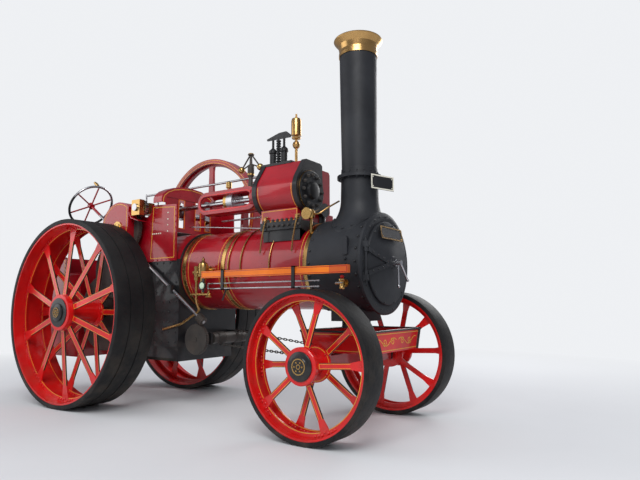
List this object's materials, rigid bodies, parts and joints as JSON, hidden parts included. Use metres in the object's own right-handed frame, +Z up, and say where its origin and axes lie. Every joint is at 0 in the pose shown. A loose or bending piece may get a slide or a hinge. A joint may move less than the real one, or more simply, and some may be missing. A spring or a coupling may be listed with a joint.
{
  "type": "steam traction engine",
  "caption": "Steam traction engine with a horizontal boiler, tall chimney, spoked wheels, side flywheel, chain steering and coal bunker.",
  "frame": {"origin": "middle of the length and width, on the ground", "axes": "+X forwards along the length, +Y to the driver's left, +Z up"},
  "size_m": [5.012, 2.19, 3.59],
  "materials": {
    "crimson": "gloss crimson paint",
    "scarlet": "gloss scarlet paint",
    "black": "satin black paint",
    "smoke_black": "heat-proof satin black",
    "brass": "polished brass",
    "copper": "polished copper",
    "steel": "bright oiled steel",
    "rubber": "worn black rubber",
    "orange": "gloss orange paint",
    "iron": "oily dark iron"
  },
  "bodies": {
    "engine": {"boiler_barrel": "crimson", "boiler_bands": "brass", "firebox": "black", "smokebox": "smoke_black", "perch_bracket": "smoke_black", "chimney": "smoke_black", "chimney_cap": "copper", "cylinder_block": "crimson", "safety_valves": "black", "whistle": "brass", "trunk_guide": "crimson", "connecting_rod": "steel", "hornplate_left": "crimson", "hornplate_right": "crimson", "spectacle_plate": "crimson", "crank_bearings": "brass", "gear_guards": "crimson", "governor": "iron", "crankshaft": "steel", "gear_shafts": "iron", "rear_axle": "iron", "tender": "crimson", "footplate": "iron", "drawbar": "black", "feed_pump": "brass", "side_rail": "orange", "boiler_pipes": "copper", "steering_bracket": "black", "control_levers": "steel"},
    "flywheel": {"flywheel": "crimson"},
    "front_axle": {"front_axle": "black", "spud_tray": "crimson"},
    "front_wheel_left": {"front_wheel_left": "scarlet", "front_tyre_left": "rubber"},
    "front_wheel_right": {"front_wheel_right": "scarlet", "front_tyre_right": "rubber"},
    "rear_wheel_left": {"rear_wheel_left": "scarlet", "rear_tyre_left": "rubber"},
    "rear_wheel_right": {"rear_wheel_right": "scarlet", "rear_tyre_right": "rubber"},
    "smokebox_door": {"smokebox_door": "smoke_black"},
    "fire_door": {"fire_door": "iron"},
    "steering_wheel": {"steering_wheel": "black"},
    "steering_barrel": {"steering_barrel": "iron"},
    "steering_chain_left": {"steering_chain_left": "iron"},
    "steering_chain_right": {"steering_chain_right": "iron"}
  },
  "joints": [
    {"name": "front_axle_steer", "type": "hinge", "parent": "engine", "child": "front_axle", "pos_m": [1.904, 0, 0.602], "axis": [0, 0, 1], "range_deg": [-25, 25]},
    {"name": "front_wheel_left_roll", "type": "hinge", "parent": "front_axle", "child": "front_wheel_left", "pos_m": [1.904, 0.742, 0.602], "axis": [0, 1, 0], "continuous": true},
    {"name": "front_wheel_right_roll", "type": "hinge", "parent": "front_axle", "child": "front_wheel_right", "pos_m": [1.904, -0.742, 0.602], "axis": [0, 1, 0], "continuous": true},
    {"name": "rear_wheel_left_roll", "type": "hinge", "parent": "engine", "child": "rear_wheel_left", "pos_m": [-1.106, 0.853, 1], "axis": [0, 1, 0], "continuous": true},
    {"name": "rear_wheel_right_roll", "type": "hinge", "parent": "engine", "child": "rear_wheel_right", "pos_m": [-1.106, -0.853, 1], "axis": [0, 1, 0], "continuous": true},
    {"name": "flywheel_turn", "type": "hinge", "parent": "engine", "child": "flywheel", "pos_m": [-0.531, 0.54, 2.14], "axis": [0, 1, 0], "continuous": true},
    {"name": "smokebox_door_hinge", "type": "hinge", "parent": "engine", "child": "smokebox_door", "pos_m": [2.24, -0.406, 1.44], "axis": [0, 0, 1], "range_deg": [-130, 0]},
    {"name": "fire_door_hinge", "type": "hinge", "parent": "engine", "child": "fire_door", "pos_m": [-0.831, -0.178, 1.19], "axis": [0, 0, 1], "range_deg": [0, 110]},
    {"name": "steering_wheel_turn", "type": "hinge", "parent": "engine", "child": "steering_wheel", "pos_m": [-1.566, -0.466, 2.28], "axis": [0.8231, 0, -0.5678], "range_deg": [-1770, 1770]},
    {"name": "steering_barrel_turn", "type": "hinge", "parent": "engine", "child": "steering_barrel", "pos_m": [0.314, 0, 0.734], "axis": [0, 1, 0], "range_deg": [-113, 113]},
    {"name": "steering_chain_left_run", "type": "slide", "parent": "engine", "child": "steering_chain_left", "axis": [0.9838, 0.1198, -0.1331], "range_m": [-0.14, 0.14]},
    {"name": "steering_chain_right_run", "type": "slide", "parent": "engine", "child": "steering_chain_right", "axis": [0.9917, -0.1208, -0.0429], "range_m": [-0.14, 0.14]}
  ],
  "couplings": [
    {"joint": "steering_wheel_turn", "follows": "front_axle_steer", "ratio": -70.588},
    {"joint": "steering_barrel_turn", "follows": "front_axle_steer", "ratio": -4.4118},
    {"joint": "steering_chain_left_run", "follows": "front_axle_steer", "m_per_rad": -0.3},
    {"joint": "steering_chain_right_run", "follows": "front_axle_steer", "m_per_rad": 0.3}
  ]
}
